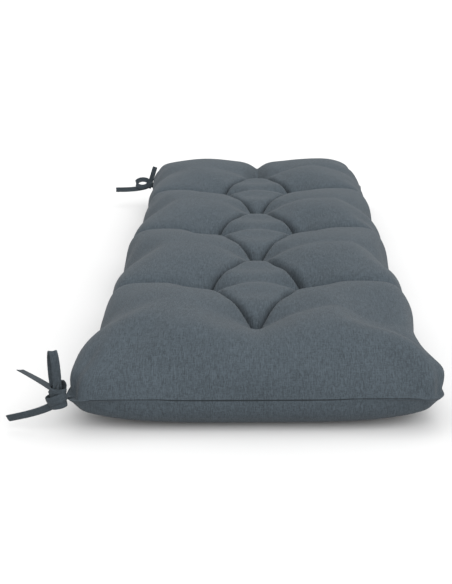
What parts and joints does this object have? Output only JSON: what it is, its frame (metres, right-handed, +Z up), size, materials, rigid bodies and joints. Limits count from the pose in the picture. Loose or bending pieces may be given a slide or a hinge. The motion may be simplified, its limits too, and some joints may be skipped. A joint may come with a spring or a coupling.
{
  "type": "bench cushion",
  "caption": "Long filled seat cushion for a bench, with a tufted top, a flat underside and a knotted fabric tie at each back corner.",
  "frame": {"origin": "middle of the flat underside, which lies on the seat", "axes": "+Z up, +Y along the bench, +X from the back edge with the ties to the front edge"},
  "size_m": [0.5997, 1.2, 0.123],
  "materials": {
    "cover_fabric": "matt, heathered plain weave"
  },
  "bodies": {
    "root": {"cushion": "cover_fabric", "near_tie": "cover_fabric", "far_tie": "cover_fabric"}
  },
  "joints": []
}
